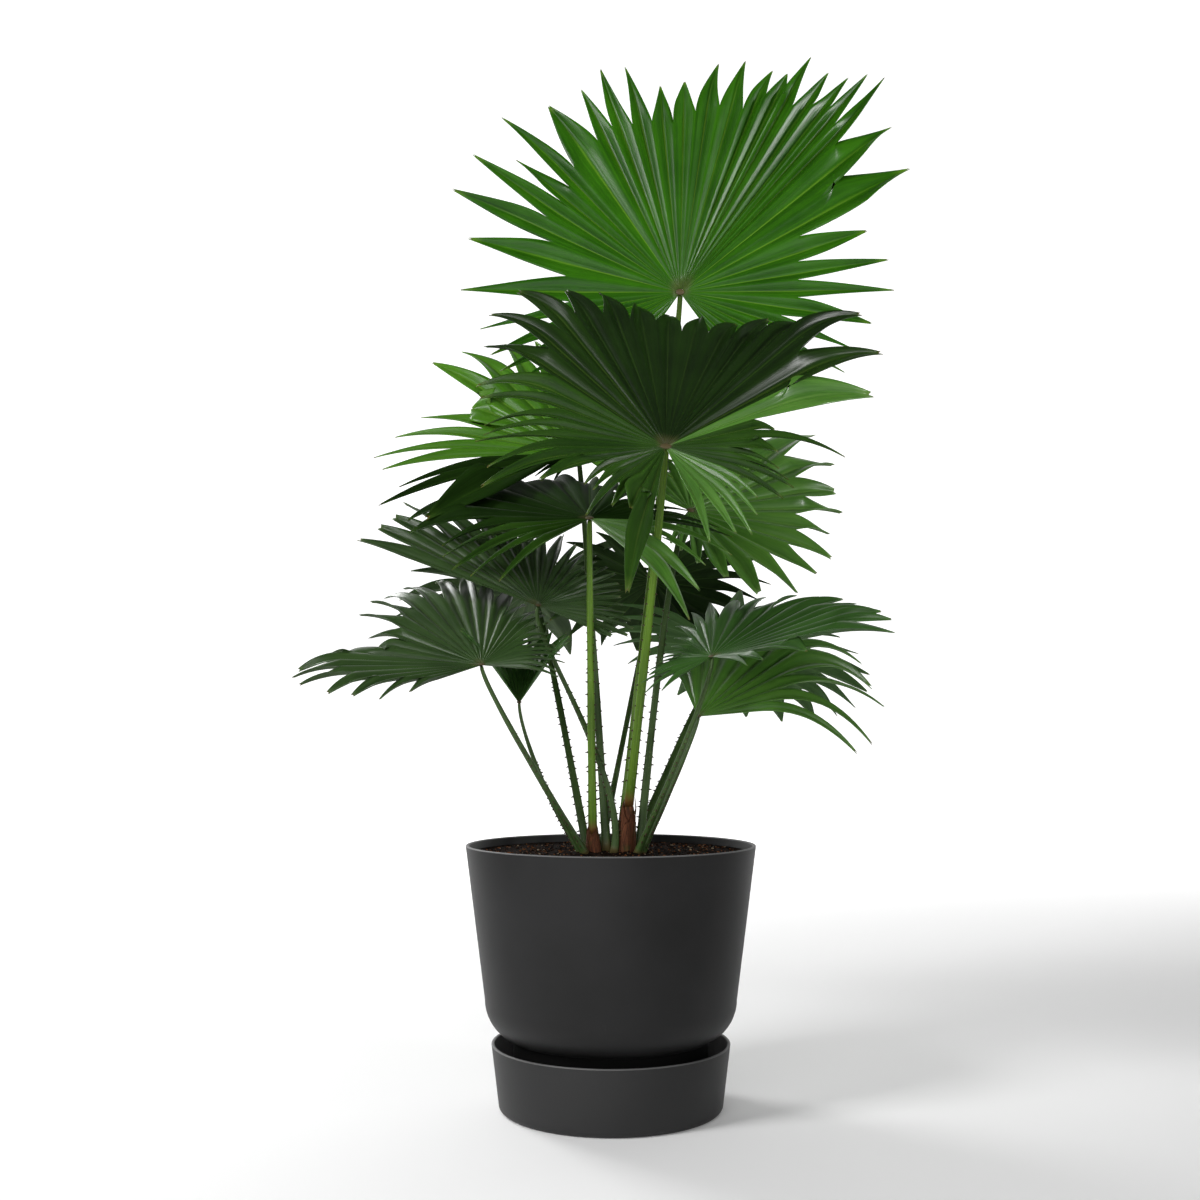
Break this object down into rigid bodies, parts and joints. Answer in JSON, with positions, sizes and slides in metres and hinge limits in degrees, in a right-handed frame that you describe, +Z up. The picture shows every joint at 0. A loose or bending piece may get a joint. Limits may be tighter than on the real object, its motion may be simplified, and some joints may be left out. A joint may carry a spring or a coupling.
{
  "type": "potted footstool palm",
  "caption": "Young fan palm with pleated round leaves on long stalks, in a round tapered plastic pot that stands in a water tray.",
  "frame": {"origin": "centre of the water tray's flat underside, on the pot's axis", "axes": "+Z up; the side shown in the picture faces -Y; +X to its viewer's right"},
  "size_m": [0.6475, 0.607, 1.1619],
  "materials": {
    "plastic": "fine matte, anthracite",
    "soil": "granular potting soil",
    "sheath": "dry, fibrous",
    "stalk": "smooth, spiny at the edges",
    "blade": "satin, pleated"
  },
  "bodies": {
    "root": {"water_tray": "plastic", "pot": "plastic", "soil": "soil", "stem_right": "sheath", "stem_left": "sheath", "stalk_top": "stalk", "frond_top": "blade", "stalk_front": "stalk", "frond_front": "blade", "stalk_upper_left": "stalk", "frond_upper_left": "blade", "stalk_middle_left": "stalk", "frond_middle_left": "blade", "stalk_middle_right": "stalk", "frond_middle_right": "blade", "stalk_high_left": "stalk", "frond_high_left": "blade", "stalk_low_left": "stalk", "frond_low_left": "blade", "stalk_under_left": "stalk", "frond_under_left": "blade", "stalk_low_right": "stalk", "frond_low_right": "blade", "stalk_under_right": "stalk", "frond_under_right": "blade", "stalk_back_left": "stalk", "frond_back_left": "blade", "stalk_back_right": "stalk", "frond_back_right": "blade", "stalk_back_low": "stalk", "frond_back_low": "blade"}
  },
  "joints": []
}
